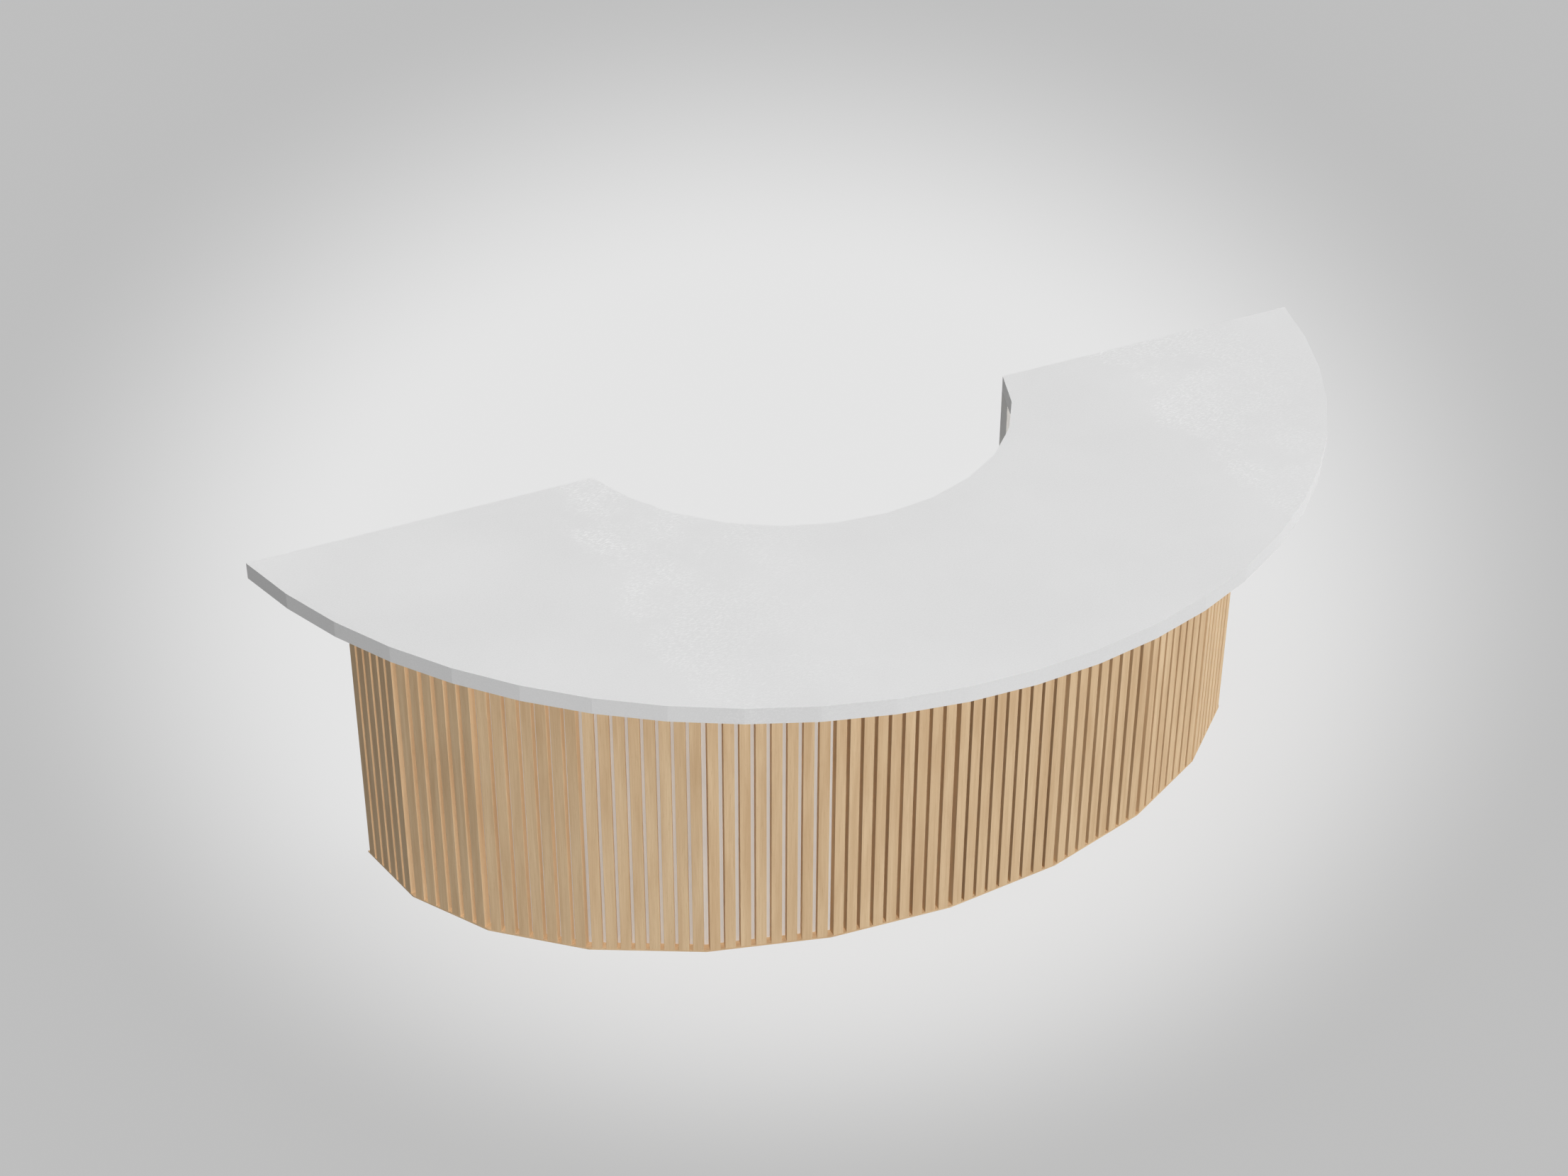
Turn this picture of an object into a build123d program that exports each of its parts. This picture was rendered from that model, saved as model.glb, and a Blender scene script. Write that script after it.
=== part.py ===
from build123d import *
import os
from math import cos, dist, pi, sin

# Curved checkout counter, in millimetres. The floor is z = 0. The staff side is open and faces +Y, and the
# customer side bulges towards -Y. Everything is drawn with both ends of the counter on the line y = 0, and
# export() then moves it so that the origin is on the floor under the middle of the worktop.

# Worktop: a faceted crescent round the staff bay, a stone-look skin on a plywood core.
counter_height = 900.0
worktop_width = 2770.0
worktop_depth = 1120.0
worktop_thickness = 40.0
worktop_facets = 24
skin_thickness = 12.0
edge_strip_thickness = 12.0
bay_width = 1100.0
bay_depth = 435.0

# Base: a slatted drum of flat panels standing on the floor. The staff bay has as many facets as the drum,
# so that each gable joins matching corners.
base_width = 2345.0
base_depth = 798.0
base_facets = 12
panel_thickness = 18.0
slat_width = 25.0
slat_depth = 22.0
slat_pitch = 35.0
sole_thickness = 4.0

# Carcass inside the drum: a gable at every third corner, which makes four storage bays.
facets_per_bay = 3
end_panel_thickness = 30.0
gable_thickness = 25.0
gable_setback = 20.0
board_thickness = 18.0
deck_underside = 80.0
deck_setback = 40.0
shelf_height = 430.0
shelf_setback = 60.0
shelf_back_gap = 45.0
shelf_clearance = 1.0
batten_leg = 24.0
batten_thickness = 20.0

# Shelf pins: four under each shelf, in blind holes.
pin_diameter = 5.0
pin_hole_depth = 10.0
pin_head_diameter = 10.0
pin_head_length = 9.0
pin_inset = 60.0

# Steel angle brackets that hold the worktop down.
bracket_leg = 40.0
bracket_width = 40.0
bracket_thickness = 3.0
bracket_front_inset = 35.0
bracket_back_inset = 88.0

# Pan-head screws, all of one size. Two that meet from both sides of a gable stop short of each other.
screw_diameter = 4.0
screw_tip_clearance = 1.5
screw_length = gable_thickness / 2 + bracket_thickness - screw_tip_clearance
screw_head_diameter = 8.0
screw_head_height = 2.5

# Levelling feet: two to a bay, each a threaded foot in a leg socket under the deck.
foot_inset = 80.0
foot_pad_diameter = 40.0
foot_pad_height = 8.0
stem_diameter = 10.0
stem_clearance = 0.1
stem_top_gap = 4.0
key_width = 5.0
key_depth = 6.0
key_hole_diameter = 12.0
socket_diameter = 34.0
socket_flange_diameter = 70.0
socket_flange_thickness = 6.0
socket_seat_gap = 0.3
socket_screw_circle = 52.0
socket_screws = 3

underside = counter_height - worktop_thickness
skin_underside = counter_height - skin_thickness
deck_top = deck_underside + board_thickness
bay_count = base_facets // facets_per_bay
far = 2 * worktop_width


# Plan geometry: points are (x, y) pairs, and an outline runs from the left end round the front to the right.

def arc_outline(width, depth, facets):
    """Corners of a faceted circular arc with its two ends on y = 0."""
    arc = ThreePointArc((-width / 2, 0), (0, -depth), (width / 2, 0))
    corners = []
    for index in range(facets + 1):
        point = arc @ (index / facets)
        corners.append((point.X, point.Y))
    return corners


def ellipse_outline(width, depth, facets):
    """Corners of a faceted half ellipse with its two ends on y = 0."""
    corners = []
    for index in range(facets + 1):
        angle = pi + pi * index / facets
        corners.append((width / 2 * cos(angle), depth * sin(angle)))
    return corners


def moved(point, direction, distance):
    return (point[0] + direction[0] * distance, point[1] + direction[1] * distance)


def middle(a, b):
    return ((a[0] + b[0]) / 2, (a[1] + b[1]) / 2)


def along(a, b):
    """Unit vector from a to b."""
    length = dist(a, b)
    return ((b[0] - a[0]) / length, (b[1] - a[1]) / length)


def outward(a, b):
    """Unit vector square to the span from a to b, on the customer side of an outline."""
    direction = along(a, b)
    return (direction[1], -direction[0])


def crossing(a, b, c, d):
    """Point where the line through a and b meets the line through c and d."""
    u = along(a, b)
    v = along(c, d)
    share = ((c[0] - a[0]) * v[1] - (c[1] - a[1]) * v[0]) / (u[0] * v[1] - u[1] * v[0])
    return moved(a, u, share)


def level_line(y):
    return (-far, y), (far, y)


def shifted(outline, distance):
    """The outline moved outward by distance, with mitred corners and its ends still on y = 0."""
    spans = []
    for a, b in zip(outline, outline[1:]):
        out = outward(a, b)
        spans.append((moved(a, out, distance), moved(b, out, distance)))
    corners = [crossing(*spans[0], *level_line(0))]
    for before, after in zip(spans, spans[1:]):
        corners.append(crossing(*before, *after))
    corners.append(crossing(*spans[-1], *level_line(0)))
    return corners


worktop_outline = arc_outline(worktop_width, worktop_depth, worktop_facets)
bay_outline = arc_outline(bay_width, bay_depth, base_facets)
base_outline = ellipse_outline(base_width, base_depth, base_facets)
panel_outline = shifted(base_outline, -slat_depth)
inner_outline = shifted(panel_outline, -panel_thickness)
core_outline = shifted(worktop_outline, -edge_strip_thickness)
core_bay_outline = shifted(bay_outline, edge_strip_thickness)


# Solid helpers.

def prism(points, bottom, top):
    """Upright prism over a closed outline."""
    face = make_face(Polyline(*points, close=True))
    return Pos(0, 0, bottom) * extrude(face, amount=top - bottom, dir=(0, 0, 1))


def ring(outer, inner, bottom, top):
    """Crescent between two outlines."""
    return prism(outer + inner[::-1], bottom, top)


def strips(outer, inner, bottom, top):
    """One mitred strip to each facet between two outlines."""
    pieces = []
    for index in range(len(outer) - 1):
        corners = [outer[index], outer[index + 1], inner[index + 1], inner[index]]
        pieces.append(prism(corners, bottom, top))
    return pieces


def end_band(depth):
    """Everything within depth of the staff-side end line."""
    return prism([(-far, -depth), (far, -depth), (far, 0), (-far, 0)], 0, counter_height)


def rod(radius, start, end):
    """Upright cylinder from start to end along its own axis."""
    return Pos(0, 0, start) * Cylinder(radius, end - start, align=(Align.CENTER, Align.CENTER, Align.MIN))


# Gable lines: each runs from a corner of the staff bay to the matching corner of the drum.

def gable_corner(line):
    return line * facets_per_bay


def gable_ray(line):
    """Start point and direction of a gable line. The first and last lines are the two end lines."""
    start = bay_outline[gable_corner(line)]
    if line == 0:
        return start, (-1.0, 0.0)
    if line == bay_count:
        return start, (1.0, 0.0)
    return start, along(start, inner_outline[gable_corner(line)])


def gable_length(line):
    return dist(bay_outline[gable_corner(line)], inner_outline[gable_corner(line)])


def bay_wedge(bay):
    """Everything between two neighbouring gable lines."""
    start, direction = gable_ray(bay)
    next_start, next_direction = gable_ray(bay + 1)
    corners = [(0, 0), start, moved(start, direction, far), moved(next_start, next_direction, far), next_start]
    if bay == 0:
        corners.remove(start)
    if bay + 1 == bay_count:
        corners.remove(next_start)
    return prism(corners, 0, counter_height)


def gable_slot(line, clearance):
    """Room that a gable takes up between two boards."""
    start, direction = gable_ray(line)
    side = (direction[1], -direction[0])
    half = gable_thickness / 2 + clearance
    end = moved(start, direction, far)
    corners = [moved(start, side, half), moved(end, side, half), moved(end, side, -half), moved(start, side, -half)]
    return prism(corners, 0, counter_height)


def board(outer, inner, bay, bottom, clearance):
    """Flat board that fills one bay between its two gables or end panels."""
    piece = ring(outer, inner, bottom, bottom + board_thickness) & bay_wedge(bay)
    for line in (bay, bay + 1):
        if 0 < line < bay_count:
            piece -= gable_slot(line, clearance)
        else:
            piece -= end_band(end_panel_thickness + clearance)
    return piece


# Fixings. Each site is a plane whose z axis points out of the face that the fixing sits on.

def board_faces(line):
    """Planes on the faces of one gable or end panel. Local x runs outward along the board, and z off its face."""
    start, direction = gable_ray(line)
    if line == 0 or line == bay_count:
        origin = (start[0], -end_panel_thickness, 0)
        return [Plane(origin=origin, x_dir=(*direction, 0), z_dir=(0, -1, 0))]
    faces = []
    for sign in (1, -1):
        side = (sign * direction[1], -sign * direction[0])
        origin = moved(start, side, gable_thickness / 2)
        faces.append(Plane(origin=(*origin, 0), x_dir=(*direction, 0), z_dir=(*side, 0)))
    return faces


def face_point(face, distance, height):
    """Plane on a board's face, at a distance along the board and a height above the floor."""
    origin = face.origin + face.x_dir * distance + Vector(0, 0, height)
    return Plane(origin=origin, x_dir=face.x_dir, z_dir=face.z_dir)


def pin_sites(line):
    height = shelf_height - pin_head_diameter / 2
    front = shelf_setback + pin_inset
    back = gable_length(line) - shelf_back_gap - pin_inset
    sites = []
    for face in board_faces(line):
        sites.append(face_point(face, front, height))
        sites.append(face_point(face, back, height))
    return sites


def pin_hole():
    return rod(pin_diameter / 2, -pin_hole_depth, 0)


def shelf_pin():
    return pin_hole() + rod(pin_head_diameter / 2, 0, pin_head_length)


def bracket_sites(line):
    sites = []
    for face in board_faces(line):
        sites.append(face_point(face, gable_setback + bracket_front_inset, underside))
        sites.append(face_point(face, gable_length(line) - bracket_back_inset, underside))
    return sites


def bracket_screw_sites(site):
    """Screw planes for one bracket: one into the board and one up into the worktop."""
    up = Vector(0, 0, 1)
    middle_of_leg = (bracket_leg + bracket_thickness) / 2
    into_board = site.origin + site.z_dir * bracket_thickness - up * middle_of_leg
    into_worktop = site.origin + site.z_dir * middle_of_leg - up * bracket_thickness
    return [
        Plane(origin=into_board, x_dir=site.x_dir, z_dir=site.z_dir),
        Plane(origin=into_worktop, x_dir=site.x_dir, z_dir=-up),
    ]


def screw_shank():
    return rod(screw_diameter / 2, -screw_length, 0)


def screw():
    head = rod(screw_head_diameter / 2, 0, screw_head_height)
    rim = head.edges().group_by(Axis.Z)[-1]
    return screw_shank() + fillet(rim, screw_head_height / 3)


def bracket(site):
    """Angle bracket between a board's face and the worktop's underside, with its two screw holes."""
    frame = Plane(origin=site.origin, x_dir=site.x_dir, z_dir=(0, 0, 1))
    side = 1 if frame.y_dir.dot(site.z_dir) > 0 else -1
    align = (Align.CENTER, Align.MIN if side > 0 else Align.MAX, Align.MAX)
    wall = Box(bracket_width, bracket_thickness, bracket_leg, align=align)
    ceiling = Box(bracket_width, bracket_leg, bracket_thickness, align=align)
    piece = frame * (wall + ceiling)
    for screw_site in bracket_screw_sites(site):
        piece -= screw_site * screw_shank()
    return piece


# Levelling feet.

def foot_points():
    """Plan positions of the feet: one near the staff side and one near the drum in each bay."""
    staff_line = shifted(bay_outline, deck_setback + foot_inset)
    drum_line = shifted(inner_outline, -foot_inset)
    points = []
    for bay in range(bay_count):
        span = gable_corner(bay) + facets_per_bay // 2
        points.append(middle(staff_line[span], staff_line[span + 1]))
        points.append(middle(drum_line[span], drum_line[span + 1]))
    return points


def foot():
    """Round pad and threaded stem in one piece, with a hexagon socket in the top for a key."""
    stem_top = deck_underside - stem_top_gap
    pad = rod(foot_pad_diameter / 2, 0, foot_pad_height)
    pad = fillet(pad.edges().group_by(Axis.Z)[-1], foot_pad_height / 4)
    key = extrude(RegularPolygon(key_width / 2, 6, major_radius=False), amount=key_depth)
    return pad + rod(stem_diameter / 2, 0, stem_top) - Pos(0, 0, stem_top - key_depth) * key


def leg_socket():
    """Flanged leg that the stem screws into. It stops just above the pad when the foot is right up."""
    flange = rod(socket_flange_diameter / 2, deck_underside - socket_flange_thickness, deck_underside)
    barrel = rod(socket_diameter / 2, foot_pad_height + socket_seat_gap, deck_underside)
    piece = flange + barrel - rod(stem_diameter / 2 + stem_clearance, 0, deck_underside)
    for site in socket_screw_sites((0, 0)):
        piece -= site * screw_shank()
    return piece


def socket_screw_sites(point):
    height = deck_underside - socket_flange_thickness
    sites = []
    for index in range(socket_screws):
        angle = 2 * pi * index / socket_screws
        x = point[0] + socket_screw_circle / 2 * cos(angle)
        y = point[1] + socket_screw_circle / 2 * sin(angle)
        sites.append(Plane(origin=(x, y, height), z_dir=(0, 0, -1)))
    return sites


all_pin_sites = []
all_bracket_sites = []
for line in range(bay_count + 1):
    all_pin_sites += pin_sites(line)
    all_bracket_sites += bracket_sites(line)

all_screw_sites = []
for site in all_bracket_sites:
    all_screw_sites += bracket_screw_sites(site)
for point in foot_points():
    all_screw_sites += socket_screw_sites(point)


def drilled(piece):
    """The piece with a hole wherever a screw or a shelf pin enters it."""
    box = piece.bounding_box()
    reach = Vector(screw_length, screw_length, screw_length)
    low = box.min - reach
    high = box.max + reach
    drills = [(site, screw_shank()) for site in all_screw_sites]
    drills += [(site, pin_hole()) for site in all_pin_sites]
    for site, drill in drills:
        tip = site.origin
        if low.X < tip.X < high.X and low.Y < tip.Y < high.Y and low.Z < tip.Z < high.Z:
            piece -= site * drill
    return piece


# Pieces.

def worktop_pieces():
    core_ring = ring(core_outline, core_bay_outline, underside, skin_underside)
    pieces = {
        "worktop_skin": ring(worktop_outline, bay_outline, skin_underside, counter_height),
        "outer_edge_strips": strips(worktop_outline, core_outline, underside, skin_underside),
        "inner_edge_strips": strips(core_bay_outline, bay_outline, underside, skin_underside),
        "end_edge_strips": (core_ring & end_band(edge_strip_thickness)).solids(),
    }
    core_ring -= end_band(edge_strip_thickness)
    for bay in range(bay_count):
        pieces[f"worktop_core_{bay + 1}"] = drilled(core_ring & bay_wedge(bay))
    return pieces


def slats(index):
    """Upright battens on one facet of the drum, evenly spread between its corners."""
    a = panel_outline[index]
    b = panel_outline[index + 1]
    direction = along(a, b)
    out = outward(a, b)
    count = max(1, round(dist(a, b) / slat_pitch))
    pieces = []
    for number in range(count):
        centre = moved(a, direction, dist(a, b) * (number + 0.5) / count)
        left = moved(centre, direction, -slat_width / 2)
        right = moved(centre, direction, slat_width / 2)
        corners = [left, right, moved(right, out, slat_depth), moved(left, out, slat_depth)]
        pieces.append(prism(corners, sole_thickness, underside))
    return pieces


def drum_pieces():
    pieces = {"slat_sole": strips(base_outline, panel_outline, 0, sole_thickness)}
    panels = strips(panel_outline, inner_outline, 0, underside)
    for index, panel in enumerate(panels):
        pieces[f"front_panel_{index + 1:02d}"] = panel
        pieces[f"slats_{index + 1:02d}"] = slats(index)
    return pieces


def end_panel(side):
    """Flat panel that closes one end of the drum, flush with the end of the worktop."""
    corner = (-bay_width / 2, 0)
    drum_point = crossing(inner_outline[0], inner_outline[1], *level_line(-end_panel_thickness))
    left = [corner, (corner[0], -end_panel_thickness), drum_point, inner_outline[0]]
    outline = [(-side * x, y) for x, y in left]
    return drilled(prism(outline, 0, underside))


def gable(line):
    """Upright board from the staff bay out to the drum, pointed to fill the corner that it meets."""
    start, direction = gable_ray(line)
    corner = gable_corner(line)
    drum_corner = inner_outline[corner]
    side = (direction[1], -direction[0])
    front = moved(start, direction, gable_setback)
    half = gable_thickness / 2
    left = moved(front, side, half)
    right = moved(front, side, -half)
    left_end = crossing(left, moved(left, direction, 1), inner_outline[corner - 1], drum_corner)
    right_end = crossing(right, moved(right, direction, 1), drum_corner, inner_outline[corner + 1])
    return drilled(prism([left, left_end, drum_corner, right_end, right], 0, underside))


def deck(bay):
    """Bottom board of a bay, with a key hole over each foot."""
    piece = board(inner_outline, shifted(bay_outline, deck_setback), bay, deck_underside, 0)
    for point in foot_points()[2 * bay:2 * bay + 2]:
        piece -= Pos(*point, 0) * rod(key_hole_diameter / 2, deck_underside, deck_top)
    return drilled(piece)


def shelf(bay):
    """Loose shelf of a bay, resting on its pins, with a gap behind it for cables."""
    back = shifted(inner_outline, -shelf_back_gap)
    front = shifted(bay_outline, shelf_setback)
    return board(back, front, bay, shelf_height, shelf_clearance)


def joint_battens():
    """Upright glue blocks inside the drum corners that have no gable."""
    inside = shifted(inner_outline, -batten_thickness)
    pieces = []
    for corner in range(1, base_facets):
        if corner % facets_per_bay == 0:
            continue
        before, here, after = inner_outline[corner - 1:corner + 2]
        left = moved(here, along(here, before), batten_leg)
        right = moved(here, along(here, after), batten_leg)
        left_in = moved(left, outward(before, here), -batten_thickness)
        right_in = moved(right, outward(here, after), -batten_thickness)
        pieces.append(prism([left, here, right, right_in, inside[corner], left_in], deck_top, underside))
    return pieces


def carcass_pieces():
    pieces = {
        "end_panel_left": end_panel(1),
        "end_panel_right": end_panel(-1),
        "joint_battens": joint_battens(),
        "shelf_pins": [site * shelf_pin() for site in all_pin_sites],
        "worktop_brackets": [bracket(site) for site in all_bracket_sites],
        "screws": [site * screw() for site in all_screw_sites],
    }
    for line in range(1, bay_count):
        pieces[f"gable_{line}"] = gable(line)
    for bay in range(bay_count):
        pieces[f"deck_{bay + 1}"] = deck(bay)
        pieces[f"shelf_{bay + 1}"] = shelf(bay)
    return pieces


def foot_pieces():
    points = foot_points()
    pieces = {"leg_sockets": [Pos(*point, 0) * leg_socket() for point in points]}
    for index, point in enumerate(points):
        pieces[f"foot_{index + 1}"] = Pos(*point, 0) * foot()
    return pieces


def export(pieces):
    os.makedirs("parts", exist_ok=True)
    for name, piece in pieces.items():
        shape = Compound(children=list(piece)) if isinstance(piece, list) else piece
        export_step(Pos(0, worktop_depth / 2, 0) * shape, f"parts/{name}.step")


export(worktop_pieces() | drum_pieces() | carcass_pieces() | foot_pieces())
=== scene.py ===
import bpy
import bmesh
from math import atan2, cos, pi, radians, sin
import numpy as np
from mathutils import Matrix, Vector


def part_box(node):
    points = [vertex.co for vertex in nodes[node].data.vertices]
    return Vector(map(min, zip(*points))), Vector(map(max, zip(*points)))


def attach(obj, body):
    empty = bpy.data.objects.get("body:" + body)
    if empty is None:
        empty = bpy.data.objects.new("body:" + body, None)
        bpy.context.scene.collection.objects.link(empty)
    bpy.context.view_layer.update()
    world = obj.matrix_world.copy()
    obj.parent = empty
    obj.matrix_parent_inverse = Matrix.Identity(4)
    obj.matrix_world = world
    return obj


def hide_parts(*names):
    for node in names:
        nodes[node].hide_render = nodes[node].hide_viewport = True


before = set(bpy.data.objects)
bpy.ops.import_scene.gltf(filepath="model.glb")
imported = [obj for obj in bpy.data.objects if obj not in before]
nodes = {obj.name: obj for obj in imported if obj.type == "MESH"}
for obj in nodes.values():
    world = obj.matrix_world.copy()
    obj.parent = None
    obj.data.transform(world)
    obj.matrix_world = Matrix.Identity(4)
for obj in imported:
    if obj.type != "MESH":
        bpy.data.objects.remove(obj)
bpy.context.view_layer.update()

CARCASS = "carcass"

# Camera: seen from the customer side, to the left, looking down at the counter.
CAMERA_PLACE = Vector((-2.652, -4.739, 4.405))
CAMERA_TARGET = Vector((-0.054, 0.553, 0.45))
CAMERA_ROLL = 0.22
LENS = 65.66
SENSOR_WIDTH = 36.0

# Light: soft studio suns, and an even sky that shades the gaps. Each sun is given by the direction that it
# comes from, in degrees round from +X and up from the floor, its strength, and whether it casts shadows.
SUNS = {
    "front": (-84, 0, 1.45, False),
    "front_shaded": (-84, 0, 0.50, True),
    "right": (13, 0, 1.36, True),
    "back": (65, 0, 0.60, True),
    "above": (0, 90, 1.35, False),
    "above_shaded": (0, 90, 0.68, True),
}
SUN_ANGLE = 20
SKY_STRENGTH = 0.236

MM = 0.001
SAME_POINT = 0.01 * MM
ARRIS = 1.2 * MM
SLAT_ARRIS = 0.7 * MM
BOARD_ARRIS = 0.8 * MM

# Bands of flecks in the stone, in metres: where the first one starts and how far apart they are.
FLECK_BAND_START = 0.55
FLECK_BAND_SPACING = 1.49


# Node-tree helpers.

class Shader:
    """A material's node tree, built with short calls."""

    def __init__(self, name):
        self.material = bpy.data.materials.new(name)
        self.material.use_nodes = True
        self.tree = self.material.node_tree
        self.bsdf = self.tree.nodes["Principled BSDF"]

    def node(self, kind, **values):
        made = self.tree.nodes.new(kind)
        for key, value in values.items():
            setattr(made, key, value)
        return made

    def link(self, source, target):
        self.tree.links.new(source, target)

    def set(self, node, name, value):
        if hasattr(value, "is_output"):
            self.link(value, node.inputs[name])
        else:
            node.inputs[name].default_value = value

    def place(self, scale=(1, 1, 1), turn=(0, 0, 0)):
        """Position on the object in metres, stretched and turned."""
        coordinates = self.node("ShaderNodeTexCoord")
        mapping = self.node("ShaderNodeMapping")
        self.link(coordinates.outputs["Object"], mapping.inputs["Vector"])
        mapping.inputs["Scale"].default_value = scale
        mapping.inputs["Rotation"].default_value = [radians(angle) for angle in turn]
        return mapping.outputs["Vector"]

    def noise(self, where, scale, detail=3.0, rough=0.5, distortion=0.0):
        noise = self.node("ShaderNodeTexNoise")
        self.set(noise, "Vector", where)
        self.set(noise, "Scale", scale)
        self.set(noise, "Detail", detail)
        self.set(noise, "Roughness", rough)
        self.set(noise, "Distortion", distortion)
        return noise.outputs["Fac"]

    def remap(self, value, low, high, out_low=0.0, out_high=1.0):
        remap = self.node("ShaderNodeMapRange", clamp=True)
        self.set(remap, "Value", value)
        self.set(remap, "From Min", low)
        self.set(remap, "From Max", high)
        self.set(remap, "To Min", out_low)
        self.set(remap, "To Max", out_high)
        return remap.outputs["Result"]

    def math(self, operation, a, b=0.0):
        made = self.node("ShaderNodeMath", operation=operation)
        for index, value in enumerate((a, b)):
            self.set(made, index, value)
        return made.outputs[0]

    def mix(self, factor, a, b, blend="MIX"):
        mix = self.node("ShaderNodeMix", data_type="RGBA", blend_type=blend)
        self.set(mix, 0, factor)
        self.set(mix, 6, a)
        self.set(mix, 7, b)
        return mix.outputs[2]

    def bump(self, height, strength, distance):
        bump = self.node("ShaderNodeBump")
        self.set(bump, "Height", height)
        self.set(bump, "Strength", strength)
        self.set(bump, "Distance", distance)
        self.link(bump.outputs["Normal"], self.bsdf.inputs["Normal"])

    def edges(self, radius):
        """1 along convex edges, from the shader's rounded normal, 0 on flat faces."""
        geometry = self.node("ShaderNodeNewGeometry")
        bevel = self.node("ShaderNodeBevel", samples=4)
        self.set(bevel, "Radius", radius)
        dot = self.node("ShaderNodeVectorMath", operation="DOT_PRODUCT")
        self.link(bevel.outputs["Normal"], dot.inputs[0])
        self.link(geometry.outputs["Normal"], dot.inputs[1])
        return self.remap(dot.outputs["Value"], 0.995, 0.9)


def srgb(*levels):
    """Linear colour from 0 to 255 display levels."""
    shares = [level / 255 for level in levels]
    linear = [share / 12.92 if share <= 0.04045 else ((share + 0.055) / 1.055) ** 2.4 for share in shares]
    return (*linear, 1.0)


def stone_material(name, base, light, dark):
    """Honed pale stone: a fine mottle, with bands of lighter flecks that start sharply and die away."""
    s = Shader(name)
    flat = s.place()
    parts = s.node("ShaderNodeSeparateXYZ")
    s.link(flat, parts.inputs[0])
    grain = s.noise(flat, 260.0, 4.0, 0.65)
    cloud = s.noise(flat, 2.2, 3.0, 0.5)
    wander = s.math("MULTIPLY", s.noise(s.place((0.6, 1, 1)), 4.0, 4.0, 0.6), 0.3)
    across = s.math("ADD", s.math("ADD", parts.outputs["X"], wander), FLECK_BAND_START)
    share = s.math("FRACT", s.math("DIVIDE", across, FLECK_BAND_SPACING))
    band = s.math("MULTIPLY", s.remap(share, 0.0, 0.03), s.remap(share, 0.40, 0.05))
    band = s.math("MULTIPLY", band, s.remap(parts.outputs["Y"], -0.5, 0.35, 0.35, 1.0))
    strokes = s.remap(s.noise(s.place((95, 290, 200), (0, 0, 25)), 1.0, 3.0, 0.6, 0.4), 0.50, 0.60)
    patches = s.remap(s.noise(flat, 7.0, 5.0, 0.65), 0.36, 0.54)
    fleck = s.math("MULTIPLY", band, s.math("MULTIPLY", strokes, patches))
    hair = s.node("ShaderNodeTexVoronoi", feature="DISTANCE_TO_EDGE")
    s.set(hair, "Vector", s.place((1, 4, 1), (0, 0, 57)))
    s.set(hair, "Scale", 3.1)
    here = s.remap(s.noise(flat, 6.5, 2.0), 0.62, 0.66)
    scratch = s.math("MULTIPLY", s.remap(hair.outputs["Distance"], 0.0016, 0.0), here)
    worn = s.math("MULTIPLY", s.edges(0.002), s.remap(grain, 0.45, 0.6))
    colour = s.mix(s.remap(cloud, 0.35, 0.65), dark, base)
    colour = s.mix(s.remap(grain, 0.3, 0.7, 0.0, 0.3), colour, light)
    for mark, strength in ((fleck, 0.95), (scratch, 0.6), (worn, 0.12)):
        colour = s.mix(s.math("MULTIPLY", mark, strength), colour, light)
    s.link(colour, s.bsdf.inputs["Base Color"])
    s.link(s.remap(s.math("ADD", s.math("MULTIPLY", grain, 0.4), fleck), 0.1, 1.2, 0.62, 0.48),
           s.bsdf.inputs["Roughness"])
    s.bump(s.math("ADD", grain, s.math("MULTIPLY", fleck, 0.6)), 0.10, 0.0004)
    s.bsdf.inputs["Specular IOR Level"].default_value = 0.25
    return s.material


def oak_material(name, turn=(0, 0, 0), lie=False):
    """Straight-grained oiled oak, each slat its own shade. The grain runs up, or along X where lie is set."""
    s = Shader(name)

    def grained(fine, long):
        """Place stretched along the grain."""
        return s.place((long, fine, fine) if lie else (fine, fine, long), turn)

    geometry = s.node("ShaderNodeNewGeometry")
    slat = geometry.outputs["Random Per Island"]
    bands = s.noise(grained(70, 1.6), 1.0, 4.0, 0.55, 0.5)
    warm = s.noise(grained(34, 3.4), 1.0, 3.0, 0.5, 0.3)
    fine = s.noise(grained(560, 9), 1.0, 3.0, 0.6)
    pores = s.remap(s.noise(grained(900, 26), 1.0, 2.0, 0.7), 0.60, 0.72)
    pale, middle, deep = srgb(228, 201, 163), srgb(216, 186, 147), srgb(186, 148, 106)
    colour = s.mix(s.remap(bands, 0.30, 0.70), pale, middle)
    colour = s.mix(s.remap(warm, 0.42, 0.72, 0.0, 0.42), colour, deep)
    colour = s.mix(s.remap(fine, 0.42, 0.75, 0.0, 0.30), colour, deep)
    colour = s.mix(s.math("MULTIPLY", pores, 0.5), colour, deep)
    colour = s.mix(s.math("MULTIPLY", slat, 0.14), colour, deep)
    colour = s.mix(s.math("MULTIPLY", s.edges(0.0012), 0.25), colour, pale)
    s.link(colour, s.bsdf.inputs["Base Color"])
    s.link(s.remap(fine, 0.3, 0.7, 0.58, 0.74), s.bsdf.inputs["Roughness"])
    s.bump(s.math("SUBTRACT", fine, pores), 0.18, 0.0003)
    s.bsdf.inputs["Specular IOR Level"].default_value = 0.25
    return s.material


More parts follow.
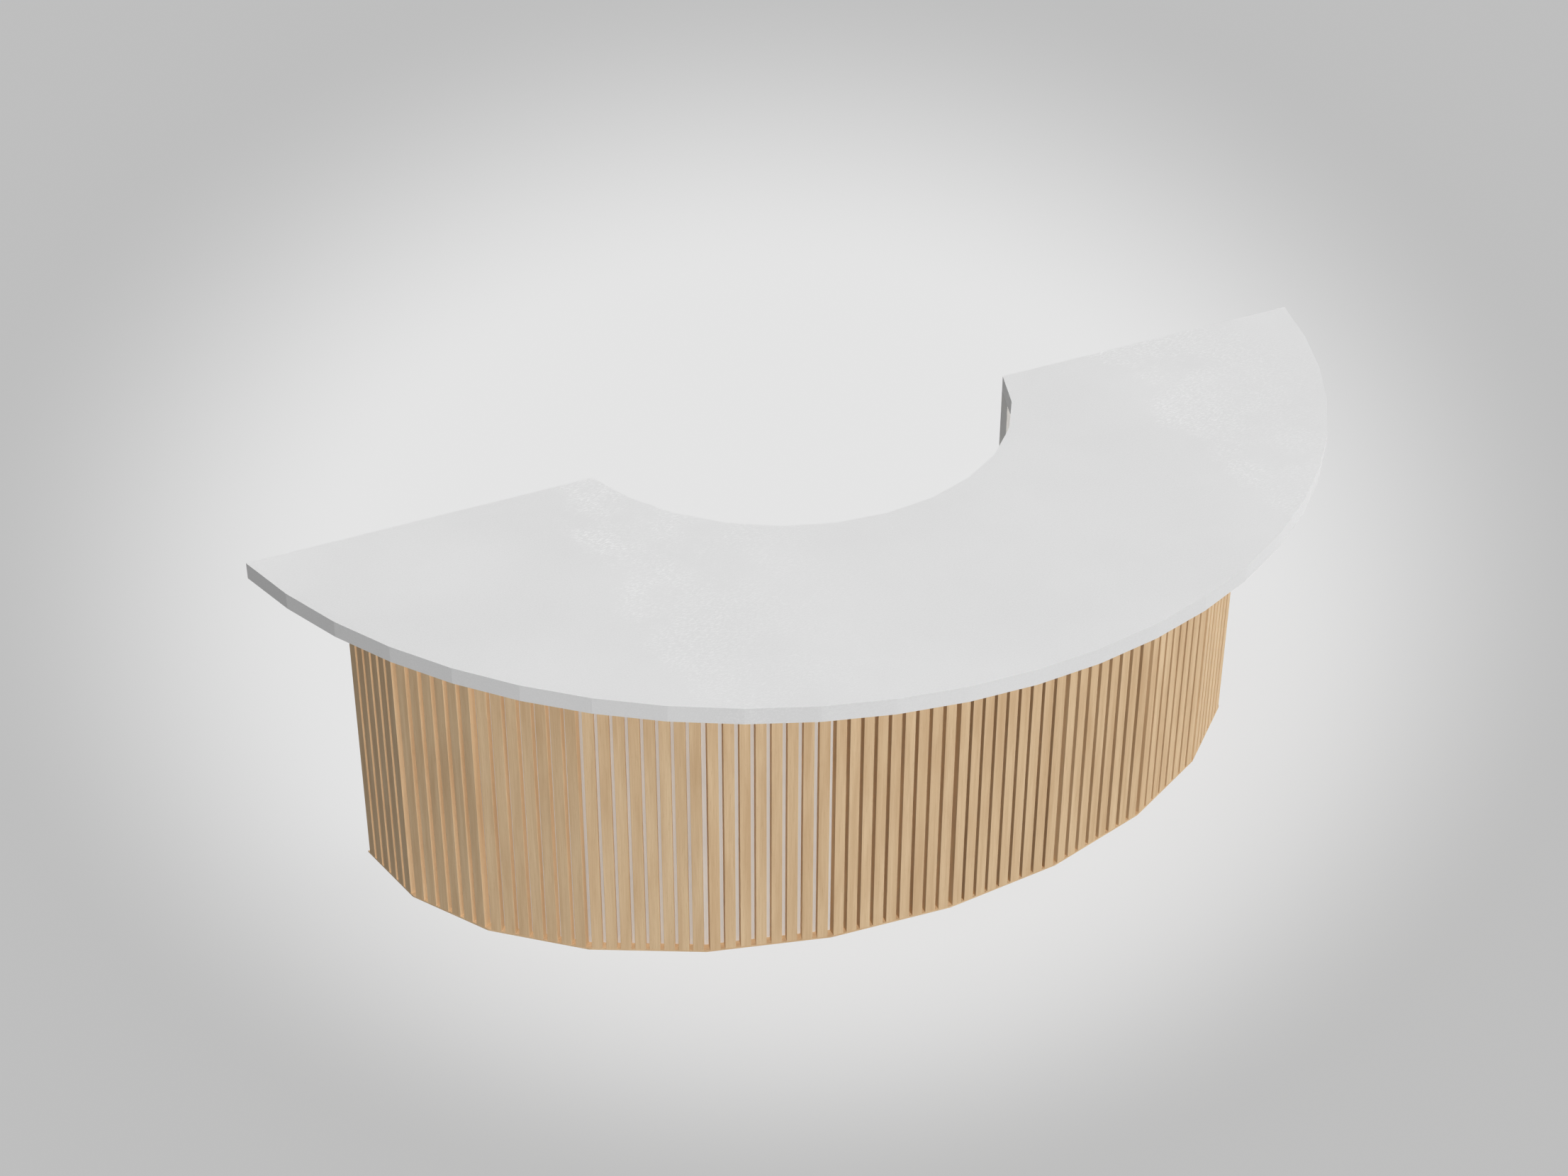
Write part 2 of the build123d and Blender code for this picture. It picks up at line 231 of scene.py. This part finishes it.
def plywood_material(name, glue_lines=True):
    """Raw birch plywood with its grain upright, and thin dark glue lines on the edges of lying sheets."""
    s = Shader(name)
    grain = s.noise(s.place((60, 60, 3)), 1.0, 5.0, 0.6, 0.8)
    fine = s.noise(s.place((400, 400, 20)), 1.0, 2.0)
    colour = s.mix(s.remap(grain, 0.3, 0.72), srgb(226, 204, 168), srgb(206, 176, 134))
    if glue_lines:
        layers = s.node("ShaderNodeTexWave", wave_type="BANDS", bands_direction="Z", wave_profile="SAW")
        s.set(layers, "Vector", s.place())
        s.set(layers, "Scale", 110.0)
        s.set(layers, "Distortion", 0.4)
        lines = s.remap(layers.outputs["Fac"], 0.82, 0.95)
        geometry = s.node("ShaderNodeNewGeometry")
        facing = s.node("ShaderNodeSeparateXYZ")
        s.link(geometry.outputs["True Normal"], facing.inputs[0])
        edge = s.remap(s.math("ABSOLUTE", facing.outputs["Z"]), 0.6, 0.4)
        shown = s.math("MULTIPLY", s.math("MULTIPLY", lines, edge), 0.7)
        colour = s.mix(shown, colour, srgb(140, 104, 70))
    s.link(colour, s.bsdf.inputs["Base Color"])
    s.link(s.remap(fine, 0.3, 0.7, 0.6, 0.8), s.bsdf.inputs["Roughness"])
    s.bump(fine, 0.15, 0.0003)
    return s.material


def board_material(name, base, dark):
    """Matt light grey laminate with a faint orange-peel press texture."""
    s = Shader(name)
    peel = s.noise(s.place(), 420.0, 2.0, 0.5)
    haze = s.noise(s.place(), 3.5, 4.0, 0.6)
    colour = s.mix(s.remap(haze, 0.35, 0.7), base, dark)
    s.link(colour, s.bsdf.inputs["Base Color"])
    s.link(s.remap(haze, 0.3, 0.7, 0.5, 0.6), s.bsdf.inputs["Roughness"])
    s.bump(peel, 0.12, 0.0002)
    s.bsdf.inputs["Specular IOR Level"].default_value = 0.3
    return s.material


def zinc_material(name):
    """Bright zinc plate with faint spangle."""
    s = Shader(name)
    spangle = s.noise(s.place(), 180.0, 3.0, 0.6, 0.5)
    colour = s.mix(s.remap(spangle, 0.35, 0.65), srgb(205, 207, 210), srgb(178, 181, 186))
    s.link(colour, s.bsdf.inputs["Base Color"])
    s.link(s.remap(spangle, 0.3, 0.7, 0.24, 0.42), s.bsdf.inputs["Roughness"])
    s.bsdf.inputs["Metallic"].default_value = 1.0
    s.bump(spangle, 0.08, 0.0002)
    return s.material


def black_material(name):
    """Moulded black nylon with a fine spark texture."""
    s = Shader(name)
    spark = s.noise(s.place(), 900.0, 2.0, 0.6)
    s.link(s.mix(spark, srgb(24, 24, 25), srgb(38, 38, 40)), s.bsdf.inputs["Base Color"])
    s.link(s.remap(spark, 0.3, 0.7, 0.42, 0.6), s.bsdf.inputs["Roughness"])
    s.bump(spark, 0.25, 0.0002)
    return s.material


def use(obj, material):
    obj.data.materials.clear()
    obj.data.materials.append(material)


def soften(obj, width, segments=2):
    """Eased edges, as modifiers, so that the frame's own mesh stays as it is."""
    weld = obj.modifiers.new("weld", "WELD")
    weld.merge_threshold = SAME_POINT
    bevel = obj.modifiers.new("arris", "BEVEL")
    bevel.width = width
    bevel.segments = segments
    bevel.limit_method = "ANGLE"
    bevel.angle_limit = radians(30)
    normals = obj.modifiers.new("flat_faces", "WEIGHTED_NORMAL")
    normals.weight = 100


# New pieces, in mesh code.

def new_piece(name, bm, material, body, replaced, smooth=30):
    """Turn mesh code into a piece that rides on a body and stands for CAD nodes."""
    mesh = bpy.data.meshes.new(name)
    bmesh.ops.recalc_face_normals(bm, faces=bm.faces)
    bm.to_mesh(mesh)
    bm.free()
    if smooth:
        mesh.shade_smooth()
        mesh.set_sharp_from_angle(angle=radians(smooth))
    piece = bpy.data.objects.new(name, mesh)
    bpy.context.scene.collection.objects.link(piece)
    use(piece, material)
    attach(piece, body)
    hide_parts(*replaced)
    return piece


def islands(obj):
    """Corner points of each separate solid in a CAD node, one array for each solid."""
    bm = bmesh.new()
    bm.from_mesh(obj.data)
    bmesh.ops.remove_doubles(bm, verts=bm.verts, dist=SAME_POINT)
    left = set(bm.verts)
    groups = []
    for first in bm.verts:
        if first not in left:
            continue
        left.discard(first)
        group = [first]
        for vert in group:
            for edge in vert.link_edges:
                other = edge.other_vert(vert)
                if other in left:
                    left.discard(other)
                    group.append(other)
        groups.append(np.array([vert.co[:] for vert in group]))
    bm.free()
    return groups


def turned_places(obj, head_height):
    """Frame of each turned solid in a node: the origin under its head, and z out along its axis."""
    places = []
    for points in islands(obj):
        middle = points.mean(axis=0)
        axis = np.linalg.svd(points - middle)[2][0]
        along = (points - middle) @ axis
        across = np.linalg.norm(points - middle - np.outer(along, axis), axis=1)
        if along[across.argmax()] < (along.max() + along.min()) / 2:
            axis, along = -axis, -along
        centre = Vector(axis_centre(points, axis))
        direction = Vector(axis)
        origin = centre + direction * (along.max() + middle @ axis - head_height - centre.dot(direction))
        turn = direction.to_track_quat("Z", "Y").to_matrix().to_4x4()
        places.append(Matrix.Translation(origin) @ turn)
    return places


def axis_centre(points, axis):
    """Point on the axis of a turned solid: the middle of its shadow along the axis."""
    side = np.cross(axis, (0.36, 0.48, 0.8))
    side /= np.linalg.norm(side)
    other = np.cross(axis, side)
    centre = np.zeros(3)
    for direction in (side, other):
        reach = points @ direction
        centre = centre + direction * (reach.max() + reach.min()) / 2
    return centre


def stamp(bm, pattern, place):
    """Add a copy of a pattern mesh at a place."""
    before = len(bm.verts)
    bm.from_mesh(pattern)
    bm.verts.ensure_lookup_table()
    bmesh.ops.transform(bm, matrix=place, verts=bm.verts[before:])


def pattern_mesh(bm):
    mesh = bpy.data.meshes.new("pattern")
    bmesh.ops.scale(bm, vec=(MM, MM, MM), verts=bm.verts)
    bm.to_mesh(mesh)
    bm.free()
    return mesh


def lathe(bm, profile, segments):
    """Turn a profile of (radius, height) points round z. A radius of 0 closes an end."""
    rows = []
    for radius, height in profile:
        count = segments if radius else 1
        angles = [2 * pi * index / segments for index in range(count)]
        rows.append([bm.verts.new((radius * cos(angle), radius * sin(angle), height)) for angle in angles])
    for lower, upper in zip(rows, rows[1:]):
        for index in range(segments):
            after = index + 1
            corners = [lower[index % len(lower)], lower[after % len(lower)]]
            corners += [upper[after % len(upper)], upper[index % len(upper)]]
            unique = list(dict.fromkeys(corners))
            bm.faces.new(unique)


def thread(bm, minor, major, pitch, start, end, segments):
    """Closed helical ridge with a V section round a stem."""
    steps = int((end - start) / pitch * segments)
    section = ((minor - 0.2, -0.45), (major, 0.0), (minor - 0.2, 0.45))
    rows = []
    for step in range(steps + 1):
        angle = 2 * pi * step / segments
        height = start + pitch * step / segments
        fade = min(1.0, step / segments, (steps - step) / segments)
        row = []
        for radius, rise in section:
            reach = minor - 0.2 + (radius - minor + 0.2) * fade
            point = (reach * cos(angle), reach * sin(angle), height + rise * pitch)
            row.append(bm.verts.new(point))
        rows.append(row)
    for here, after in zip(rows, rows[1:]):
        for index in range(3):
            following = (index + 1) % 3
            bm.faces.new((here[index], here[following], after[following], after[index]))
    bm.faces.new(rows[0])
    bm.faces.new(rows[-1][::-1])


def prism(bm, plan, bottom, top):
    """Upright prism over a plan outline."""
    lower = [bm.verts.new((*point, bottom)) for point in plan]
    upper = [bm.verts.new((*point, top)) for point in plan]
    band(bm, lower, upper)
    bm.faces.new(lower[::-1])
    bm.faces.new(upper)


def cut(bm, cutter):
    """The solid less the cutter, as a new bmesh."""
    solids = []
    for name, shape in (("solid", bm), ("cutter", cutter)):
        bmesh.ops.recalc_face_normals(shape, faces=shape.faces)
        mesh = bpy.data.meshes.new(name)
        shape.to_mesh(mesh)
        shape.free()
        solids.append(bpy.data.objects.new(name, mesh))
        bpy.context.scene.collection.objects.link(solids[-1])
    boolean = solids[0].modifiers.new("cut", "BOOLEAN")
    boolean.object = solids[1]
    boolean.solver = "EXACT"
    finished = solids[0].evaluated_get(bpy.context.evaluated_depsgraph_get())
    result = bmesh.new()
    result.from_mesh(finished.to_mesh())
    finished.to_mesh_clear()
    for obj in solids:
        bpy.data.objects.remove(obj)
    assert result.faces, "the cut left nothing"
    return result


def polygon(radius, sides, turn=0.0):
    angles = [turn + 2 * pi * index / sides for index in range(sides)]
    return [(radius * cos(angle), radius * sin(angle)) for angle in angles]


# Measures of the small fittings, in millimetres.
HEAD_RADIUS = 4.0
HEAD_HEIGHT = 2.5
SHANK_RADIUS = 2.0
PIN_HEAD_RADIUS = 5.0
PIN_HEAD_LENGTH = 9.0
STEM_MINOR = 4.3
STEM_MAJOR = 5.0
STEM_PITCH = 1.5
KEY_WIDTH = 5.0
KEY_DEPTH = 6.0
RIB_COUNT = 6
RIB_THICKNESS = 2.4
SCREW_LENGTH = 14.0
PIN_DEPTH = 10.0
PAD_HEIGHT = 8.0
FLANGE_RADIUS = 35.0
FLANGE_THICKNESS = 6.0
BARREL_RADIUS = 17.0
FOOT_COUNT = 8


def screw_pattern(length):
    """Pan-head screw with a cross recess and a pointed end."""
    bm = bmesh.new()
    profile = [(0, -length), (0.8, -length + 2.0), (SHANK_RADIUS * 0.8, -length + 4.0)]
    profile += [(SHANK_RADIUS * 0.8, -1.5), (SHANK_RADIUS, -1.2), (SHANK_RADIUS, 0), (HEAD_RADIUS, 0)]
    profile += [(HEAD_RADIUS, 0.9)]
    for step in range(1, 6):
        angle = radians(18 * step)
        profile.append((HEAD_RADIUS - 1.6 * (1 - cos(angle)), 0.9 + (HEAD_HEIGHT - 0.95) * sin(angle)))
    profile += [(1.2, HEAD_HEIGHT), (0, HEAD_HEIGHT)]
    lathe(bm, profile, 24)
    for turn in (0.0, pi / 2):
        cross = bmesh.new()
        arm = [(x * cos(turn) - y * sin(turn), x * sin(turn) + y * cos(turn)) for x, y in
               ((-2.1, -0.42), (2.1, -0.42), (2.1, 0.42), (-2.1, 0.42))]
        deep = [(x * 0.35, y * 0.7) for x, y in arm]
        low = [cross.verts.new((*point, HEAD_HEIGHT - 1.7)) for point in deep]
        high = [cross.verts.new((*point, HEAD_HEIGHT + 0.5)) for point in arm]
        band(cross, low, high)
        cross.faces.new(low[::-1])
        cross.faces.new(high)
        bm = cut(bm, cross)
    thread(bm, SHANK_RADIUS * 0.8, SHANK_RADIUS, 1.4, 3.0 - length, -1.4, 12)
    return pattern_mesh(bm)


def pin_pattern(depth):
    """Turned shelf pin with a grooved head and a rounded end."""
    bm = bmesh.new()
    profile = [(0, -depth), (1.9, -depth), (2.5, 0.8 - depth), (2.5, 0), (4.6, 0), (PIN_HEAD_RADIUS, 0.4)]
    profile += [(PIN_HEAD_RADIUS, 1.8), (4.5, 2.2), (4.5, 2.8), (PIN_HEAD_RADIUS, 3.2)]
    profile += [(PIN_HEAD_RADIUS, PIN_HEAD_LENGTH - 1.2), (4.6, PIN_HEAD_LENGTH - 0.4)]
    profile += [(3.8, PIN_HEAD_LENGTH), (0, PIN_HEAD_LENGTH)]
    lathe(bm, profile, 32)
    return pattern_mesh(bm)


def stamped(pattern, places):
    bm = bmesh.new()
    for place in places:
        stamp(bm, pattern, place)
    return bm


def foot_pattern(pad_radius, pad_height, stem_top):
    """Dished pad with a rounded rim, and a threaded stem with a hexagon key socket in its top."""
    bm = bmesh.new()
    rim = pad_radius
    profile = [(0, 0.6), (rim - 5, 0.6), (rim - 4, 0), (rim - 1.2, 0), (rim - 0.3, 0.4), (rim, 1.2)]
    profile += [(rim, pad_height - 2.6)]
    for step in range(1, 7):
        angle = radians(15 * step)
        profile.append((rim - 2.2 * (1 - cos(angle)), pad_height - 2.6 + 2.2 * sin(angle)))
    profile += [(rim - 6, pad_height - 0.2), (9, pad_height - 0.2), (7, pad_height), (STEM_MINOR, pad_height)]
    profile += [(STEM_MINOR, stem_top - 1.0), (STEM_MINOR - 0.7, stem_top), (0, stem_top)]
    lathe(bm, profile, 48)
    key = bmesh.new()
    prism(key, polygon(KEY_WIDTH / 2 / cos(pi / 6), 6), stem_top - KEY_DEPTH, stem_top + 1)
    bm = cut(bm, key)
    thread(bm, STEM_MINOR, STEM_MAJOR, STEM_PITCH, pad_height + 1, stem_top - 1.6, 20)
    return pattern_mesh(bm)


def socket_pattern(low, high, flange_radius, flange_thickness, barrel_radius):
    """Moulded leg socket: a drafted barrel with a lead-in, under a ribbed flange."""
    bore = STEM_MAJOR + 0.15
    seat = high - flange_thickness
    bm = bmesh.new()
    profile = [(bore, high), (bore, low + 1), (bore + 1, low), (barrel_radius - 2.0, low)]
    drafted = barrel_radius - 1.2
    profile += [(drafted, low + 0.8), (drafted, low + 8), (barrel_radius - 0.6, low + 9)]
    profile += [(barrel_radius, seat - 3), (barrel_radius + 1, seat - 1), (barrel_radius + 3, seat)]
    profile += [(flange_radius - 1, seat), (flange_radius, seat + 1), (flange_radius, high - 0.4)]
    profile += [(flange_radius - 0.4, high), (bore, high)]
    lathe(bm, profile, 64)
    bmesh.ops.remove_doubles(bm, verts=bm.verts, dist=0.001)
    for index in range(RIB_COUNT):
        turn = Matrix.Rotation(2 * pi * (index + 0.5) / RIB_COUNT, 4, "Z")
        root, tip, sunk = barrel_radius - 1.5, flange_radius - 3, seat + 0.5
        outline = ((root, low + 14), (tip, seat - 1.5), (tip, sunk), (root, sunk))
        half = RIB_THICKNESS / 2
        near = [bm.verts.new(turn @ Vector((x, -half, z))) for x, z in outline]
        far = [bm.verts.new(turn @ Vector((x, half, z))) for x, z in outline]
        band(bm, near, far)
        bm.faces.new(near)
        bm.faces.new(far[::-1])
    return pattern_mesh(bm)


def bracket_places(obj):
    """Frame of each angle bracket: the origin in its corner, y out along the ceiling leg and z up."""
    places = []
    for points in islands(obj):
        top = points[:, 2].max()
        low = points[points[:, 2] < points[:, 2].min() + 0.001]
        wall = (low.min(axis=0) + low.max(axis=0)) / 2
        ceiling = points[points[:, 2] > top - 0.0001].mean(axis=0)
        out = Vector((*(ceiling - wall)[:2], 0)).normalized()
        origin = Vector((*wall[:2], top)) - out * BRACKET_THICKNESS * MM / 2
        side = out.cross(Vector((0, 0, 1)))
        turn = Matrix((side, out, Vector((0, 0, 1)))).transposed().to_4x4()
        places.append(Matrix.Translation(origin) @ turn)
    return places


BRACKET_LEG = 40.0
BRACKET_WIDTH = 40.0
BRACKET_THICKNESS = 3.0
BRACKET_BEND = 1.5
BRACKET_CORNER = 7.0
GUSSET_LEG = 13.0
GUSSET_WIDTH = 5.0


def bracket_pattern():
    """Pressed angle bracket with a rounded bend, rounded corners and a stiffening gusset."""
    leg, thick, half = BRACKET_LEG, BRACKET_THICKNESS, BRACKET_WIDTH / 2
    bend = BRACKET_BEND + thick
    section = [(0.0, -leg), (thick, -leg)]
    for step in range(5):
        angle = radians(22.5 * step)
        section.append((bend - BRACKET_BEND * cos(angle), -bend + BRACKET_BEND * sin(angle)))
    section += [(leg, -thick), (leg, 0.0)]
    for step in range(5):
        angle = radians(90 - 22.5 * step)
        section.append((bend * (1 - cos(angle)), -bend * (1 - sin(angle))))
    bm = bmesh.new()
    left = [bm.verts.new((-half, y, z)) for y, z in section]
    right = [bm.verts.new((half, y, z)) for y, z in section]
    band(bm, left, right)
    bm.faces.new(left[::-1])
    bm.faces.new(right)

    def at_free_corner(edge):
        mid = (edge.verts[0].co + edge.verts[1].co) / 2
        short = edge.calc_length() < thick + 0.1
        return short and abs(abs(mid.x) - half) < 0.01 and (mid.z < 0.1 - leg or mid.y > leg - 0.1)

    corners = [edge for edge in bm.edges if at_free_corner(edge)]
    bmesh.ops.bevel(bm, geom=corners, offset=BRACKET_CORNER, segments=5, affect="EDGES", profile=0.5)
    reach, sunk = GUSSET_LEG, thick - 0.5
    gusset = [(sunk, -reach), (thick + 1.0, -reach), (reach, -thick - 1.0), (reach, -sunk), (sunk, -sunk)]
    near = [bm.verts.new((-GUSSET_WIDTH / 2, y, z)) for y, z in gusset]
    far = [bm.verts.new((GUSSET_WIDTH / 2, y, z)) for y, z in gusset]
    band(bm, near, far)
    bm.faces.new(near[::-1])
    bm.faces.new(far)
    return pattern_mesh(bm)


def top_outline(obj):
    """Corners round the top face of a CAD node, in order, as plan points."""
    bm = bmesh.new()
    bm.from_mesh(obj.data)
    bmesh.ops.remove_doubles(bm, verts=bm.verts, dist=SAME_POINT)
    top = max(vert.co.z for vert in bm.verts)
    faces = [face for face in bm.faces if all(abs(vert.co.z - top) < SAME_POINT for vert in face.verts)]
    rim = [edge for edge in bm.edges if sum(face in faces for face in edge.link_faces) == 1]
    start = vert = rim[0].verts[0]
    edge = rim[0]
    corners = []
    while not corners or vert != start:
        corners.append(vert.co.xy.copy())
        vert = edge.other_vert(vert)
        edge = next(other for other in rim if vert in other.verts and other != edge)
    bm.free()
    area = sum(a.cross(b) for a, b in zip(corners, corners[1:] + corners[:1]))
    return corners if area > 0 else corners[::-1]


def inset(corners, distance):
    """The outline moved inward by a distance, with mitred corners."""
    moved = []
    for before, here, after in zip(corners[-1:] + corners[:-1], corners, corners[1:] + corners[:1]):
        into, out = (here - before).normalized(), (after - here).normalized()
        inward = Vector((-into.y, into.x)), Vector((-out.y, out.x))
        bisector = (inward[0] + inward[1]).normalized()
        moved.append(here + bisector * distance / bisector.dot(inward[0]))
    return moved


def band(bm, lower, upper):
    """Wall of quads between two loops of vertices."""
    for index in range(len(lower)):
        after = (index + 1) % len(lower)
        bm.faces.new((lower[index], lower[after], upper[after], upper[index]))


def worktop_shell():
    """The worktop's whole stone surface: a skin whose edges turn down round the core, with eased arrises."""
    corners = top_outline(nodes["worktop_skin"])
    low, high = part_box("worktop_skin")
    edge_low, edge_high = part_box("end_edge_strips")
    thickness = edge_high[1] - edge_low[1]
    inner = inset(corners, thickness)
    bm = bmesh.new()

    def loop(points, height):
        return [bm.verts.new((*point, height)) for point in points]

    top, bottom = loop(corners, high[2]), loop(corners, edge_low[2])
    inner_bottom, inner_top = loop(inner, edge_low[2]), loop(inner, low[2])
    band(bm, bottom, top)
    band(bm, inner_bottom, bottom)
    band(bm, inner_top, inner_bottom)
    bm.faces.new(top)
    bm.faces.new(inner_top[::-1])
    arrises = [edge for edge in bm.edges if edge.calc_face_angle(0) > radians(60)]
    bmesh.ops.bevel(bm, geom=arrises, offset=ARRIS, segments=2, affect="EDGES", profile=0.5)
    return bm


# Materials on the CAD nodes.

stone = stone_material("stone", srgb(225, 225, 225), srgb(240, 240, 240), srgb(221, 221, 221))
board = board_material("grey_laminate", srgb(226, 226, 225), srgb(220, 220, 219))
oak = oak_material("oak_upright")
oak_lying = oak_material("oak_lying", (0, 0, 35), True)
plywood = plywood_material("plywood")
upright_plywood = plywood_material("upright_plywood", glue_lines=False)
zinc = zinc_material("zinc_plate")
black = black_material("black_nylon")

NODE_MATERIALS = (
    ("worktop_core", plywood),
    ("worktop_brackets", zinc),
    ("slats", oak),
    ("slat_sole", oak_lying),
    ("joint_battens", upright_plywood),
    ("screws", zinc),
    ("shelf_pins", zinc),
    ("foot", zinc),
    ("leg_sockets", black),
)


def material_of(name):
    for start, material in NODE_MATERIALS:
        if name.startswith(start):
            return material
    return board


for name, obj in nodes.items():
    use(obj, material_of(name))
    if name.startswith("slats"):
        soften(obj, SLAT_ARRIS)
    if name.startswith(("shelf", "deck", "gable", "end_panel")) and name != "shelf_pins":
        soften(obj, BOARD_ARRIS)


WORKTOP_NODES = ("worktop_skin", "outer_edge_strips", "inner_edge_strips", "end_edge_strips")
new_piece("worktop_shell", worktop_shell(), stone, CARCASS, WORKTOP_NODES, smooth=0)

screw_places = turned_places(nodes["screws"], HEAD_HEIGHT * MM)
new_piece("cross_head_screws", stamped(screw_pattern(SCREW_LENGTH), screw_places), zinc,
          CARCASS, ["screws"])
pin_places = turned_places(nodes["shelf_pins"], PIN_HEAD_LENGTH * MM)
new_piece("turned_shelf_pins", stamped(pin_pattern(PIN_DEPTH), pin_places), zinc,
          CARCASS, ["shelf_pins"])
new_piece("pressed_brackets", stamped(bracket_pattern(), bracket_places(nodes["worktop_brackets"])), zinc,
          CARCASS, ["worktop_brackets"])

socket_places = []
for number in range(1, FOOT_COUNT + 1):
    low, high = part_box(f"foot_{number}")
    place = Matrix.Translation(((low[0] + high[0]) / 2, (low[1] + high[1]) / 2, 0))
    socket_places.append(place)
    pattern = foot_pattern((high[0] - low[0]) / 2 / MM, PAD_HEIGHT, high[2] / MM)
    new_piece(f"threaded_foot_{number}", stamped(pattern, [place]), zinc,
              f"levelling_foot_{number}", [f"foot_{number}"])
low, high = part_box("leg_sockets")
socket = socket_pattern(low[2] / MM, high[2] / MM, FLANGE_RADIUS, FLANGE_THICKNESS, BARREL_RADIUS)
new_piece("ribbed_leg_sockets", stamped(socket, socket_places), black,
          CARCASS, ["leg_sockets"])


# Floor, lights and camera.

COVE_START = 16.0
COVE_RADIUS = 6.0
COVE_TOP = 20.0
# Painted pool of light on the floor: where it sits, its size, how it widens and how softly it fades to the
# backdrop grey.
LIGHT_POOL_MIDDLE = (0.17, 1.03)
LIGHT_POOL_SIZE = (2.07, 2.79)
LIGHT_POOL_WIDENING = 0.35
LIGHT_POOL_SOFTNESS = (0.57, 1.10)
FLOOR_GLOW = 0.92


def floor_material():
    """Pale studio floor that mostly glows instead of taking light, brighter in a soft painted pool of light
    round the counter that widens away from the camera.
    """
    s = Shader("studio_floor")
    coordinates = s.node("ShaderNodeTexCoord")
    mapping = s.node("ShaderNodeMapping", vector_type="TEXTURE")
    s.link(coordinates.outputs["Object"], mapping.inputs["Vector"])
    view = CAMERA_TARGET - CAMERA_PLACE
    mapping.inputs["Location"].default_value = (*LIGHT_POOL_MIDDLE, 0)
    mapping.inputs["Rotation"].default_value = (0, 0, -atan2(view.x, view.y))
    mapping.inputs["Scale"].default_value = (*LIGHT_POOL_SIZE, 1)
    length = s.node("ShaderNodeVectorMath", operation="LENGTH")
    s.link(mapping.outputs["Vector"], length.inputs[0])
    parts = s.node("ShaderNodeSeparateXYZ")
    s.link(mapping.outputs["Vector"], parts.inputs[0])
    widening = s.math("ADD", s.math("MULTIPLY", parts.outputs["Y"], LIGHT_POOL_WIDENING), 1.0)
    ramp = s.node("ShaderNodeMapRange", interpolation_type="SMOOTHSTEP")
    s.set(ramp, "Value", s.math("DIVIDE", length.outputs["Value"], s.math("MAXIMUM", widening, 0.2)))
    s.set(ramp, "From Min", LIGHT_POOL_SOFTNESS[0])
    s.set(ramp, "From Max", LIGHT_POOL_SOFTNESS[1])
    # Painted pool of light: the glowing floor is brighter in the middle and falls to the plain backdrop grey.
    colour = s.mix(ramp.outputs["Result"], srgb(229, 229, 229), srgb(191, 191, 191))
    glow = s.node("ShaderNodeEmission")
    s.link(colour, glow.inputs["Color"])
    s.link(colour, s.bsdf.inputs["Base Color"])
    s.bsdf.inputs["Roughness"].default_value = 1.0
    s.bsdf.inputs["Specular IOR Level"].default_value = 0.0
    blend = s.node("ShaderNodeMixShader")
    blend.inputs["Fac"].default_value = FLOOR_GLOW
    output = s.tree.nodes["Material Output"]
    s.link(s.bsdf.outputs[0], blend.inputs[1])
    s.link(glow.outputs[0], blend.inputs[2])
    s.link(blend.outputs[0], output.inputs["Surface"])
    return s.material


def make_floor():
    """Floor that curves up into a plain backdrop all round."""
    bm = bmesh.new()
    profile = [(0, 0), (COVE_START, 0)]
    for step in range(1, 9):
        angle = pi / 2 * step / 8
        profile.append((COVE_START + COVE_RADIUS * sin(angle), COVE_RADIUS * (1 - cos(angle))))
    lathe(bm, profile + [(COVE_START + COVE_RADIUS, COVE_TOP)], 96)
    mesh = bpy.data.meshes.new("studio_floor")
    bm.to_mesh(mesh)
    bm.free()
    mesh.shade_smooth()
    floor = bpy.data.objects.new("studio_floor", mesh)
    bpy.context.scene.collection.objects.link(floor)
    floor.visible_diffuse = False
    floor.visible_shadow = False
    use(floor, floor_material())


def make_lights():
    for name, (around, up, strength, shadow) in SUNS.items():
        light = bpy.data.lights.new("sun_" + name, "SUN")
        light.energy = strength
        light.angle = radians(SUN_ANGLE)
        light.use_shadow = shadow
        lamp = bpy.data.objects.new("sun_" + name, light)
        lamp.rotation_euler = (radians(90 - up), 0, radians(around + 90))
        bpy.context.scene.collection.objects.link(lamp)
    world = bpy.data.worlds.new("studio")
    world.use_nodes = True
    background = world.node_tree.nodes["Background"]
    background.inputs["Color"].default_value = (1, 1, 1, 1)
    background.inputs["Strength"].default_value = SKY_STRENGTH
    bpy.context.scene.world = world


def make_camera():
    data = bpy.data.cameras.new("camera")
    data.lens = LENS
    data.sensor_width = SENSOR_WIDTH
    data.clip_end = 200
    camera = bpy.data.objects.new("camera", data)
    bpy.context.scene.collection.objects.link(camera)
    aim = (CAMERA_TARGET - CAMERA_PLACE).to_track_quat("-Z", "Y").to_matrix().to_4x4()
    roll = Matrix.Rotation(radians(CAMERA_ROLL), 4, "Z")
    camera.matrix_world = Matrix.Translation(CAMERA_PLACE) @ aim @ roll
    bpy.context.scene.camera = camera
    bpy.context.scene.view_settings.view_transform = "Standard"


make_floor()
make_lights()
make_camera()
